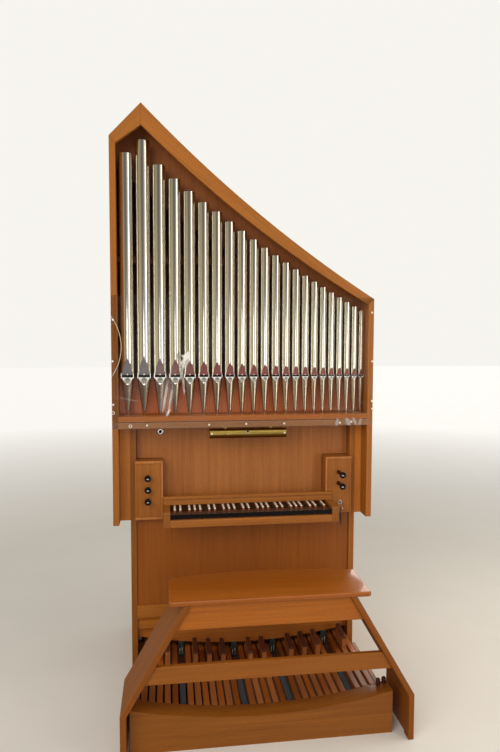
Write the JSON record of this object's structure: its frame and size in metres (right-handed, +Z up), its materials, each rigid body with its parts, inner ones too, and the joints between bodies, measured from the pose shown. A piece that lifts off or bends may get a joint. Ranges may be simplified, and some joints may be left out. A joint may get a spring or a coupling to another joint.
{
  "type": "pipe organ",
  "caption": "Small free-standing church organ: keyboard console, front of metal pipes under a swept roof line, pedalboard and separate bench.",
  "frame": {"origin": "on the floor, in the middle of the box round the organ and its bench", "axes": "+X to the player's right, +Y from the player into the organ, +Z up"},
  "size_m": [1.291, 1.22, 2.778],
  "materials": {
    "veneer": "clear satin varnish over straight grain",
    "inner_wood": "plain wood inside the case",
    "pedal_wood": "worn satin varnish",
    "dark_wood": "dark stained wood",
    "pipe_metal": "planed tin with a soft shine",
    "clear_acrylic": "clear acrylic sheet",
    "black_knob": "polished black",
    "bright_metal": "polished nickel",
    "lamp_brass": "polished lacquered brass",
    "key_black": "polished black wood",
    "key_brown": "red brown wood",
    "key_white": "ivory white",
    "blue_felt": "dark blue grey felt"
  },
  "bodies": {
    "organ": {"case_side_left": "veneer", "case_side_right": "veneer", "roof_left": "veneer", "roof_right": "veneer", "gable_left_board": "veneer", "gable_right_board": "veneer", "case_back": "inner_wood", "case_floor": "inner_wood", "bottom_rail": "veneer", "toe_board": "veneer", "foot_panel": "inner_wood", "top_panel": "veneer", "pipe_rack": "inner_wood", "pipes_bass": "pipe_metal", "pipes_tenor": "pipe_metal", "pipes_treble": "pipe_metal", "guard_sheet": "clear_acrylic", "guard_plate": "clear_acrylic", "infill_left": "veneer", "infill_right": "veneer", "desk_panel": "veneer", "jamb_left": "veneer", "jamb_right": "veneer", "jamb_lock": "bright_metal", "lock_key": "bright_metal", "name_rail": "veneer", "key_slip": "veneer", "key_cheeks": "veneer", "key_bed": "inner_wood", "manual_naturals": "key_black", "manual_sharps": "key_brown", "sharp_caps": "key_white", "lamp_shade": "lamp_brass", "lamp_bracket": "lamp_brass", "cable_ring": "bright_metal", "pedestal_left": "veneer", "pedestal_right": "veneer", "pedestal_panel": "veneer", "pedestal_rail": "veneer", "kick_board": "veneer", "pedestal_back": "inner_wood", "heel_rail": "pedal_wood", "pedal_sides": "pedal_wood", "pedal_beams": "inner_wood", "pedal_naturals": "pedal_wood", "pedal_sharps": "pedal_wood", "pedal_caps": "dark_wood", "slot_felts": "blue_felt", "heel_pegs": "dark_wood", "bench_seat": "veneer", "bench_left": "veneer", "bench_right": "veneer", "bench_apron": "veneer", "bench_bar": "veneer"},
    "stop_left_1": {"stop_left_1": "black_knob"},
    "stop_left_2": {"stop_left_2": "black_knob"},
    "stop_left_3": {"stop_left_3": "black_knob"},
    "stop_right_1": {"stop_right_1": "black_knob"},
    "stop_right_2": {"stop_right_2": "black_knob"}
  },
  "joints": [
    {"name": "stop_left_1_slide", "type": "slide", "parent": "organ", "child": "stop_left_1", "axis": [0, -1, 0], "range_m": [0, 0.04]},
    {"name": "stop_left_2_slide", "type": "slide", "parent": "organ", "child": "stop_left_2", "axis": [0, -1, 0], "range_m": [0, 0.04]},
    {"name": "stop_left_3_slide", "type": "slide", "parent": "organ", "child": "stop_left_3", "axis": [0, -1, 0], "range_m": [0, 0.04]},
    {"name": "stop_right_1_slide", "type": "slide", "parent": "organ", "child": "stop_right_1", "axis": [0, 1, 0], "range_m": [0, 0.04]},
    {"name": "stop_right_2_slide", "type": "slide", "parent": "organ", "child": "stop_right_2", "axis": [0, 1, 0], "range_m": [0, 0.04]}
  ]
}
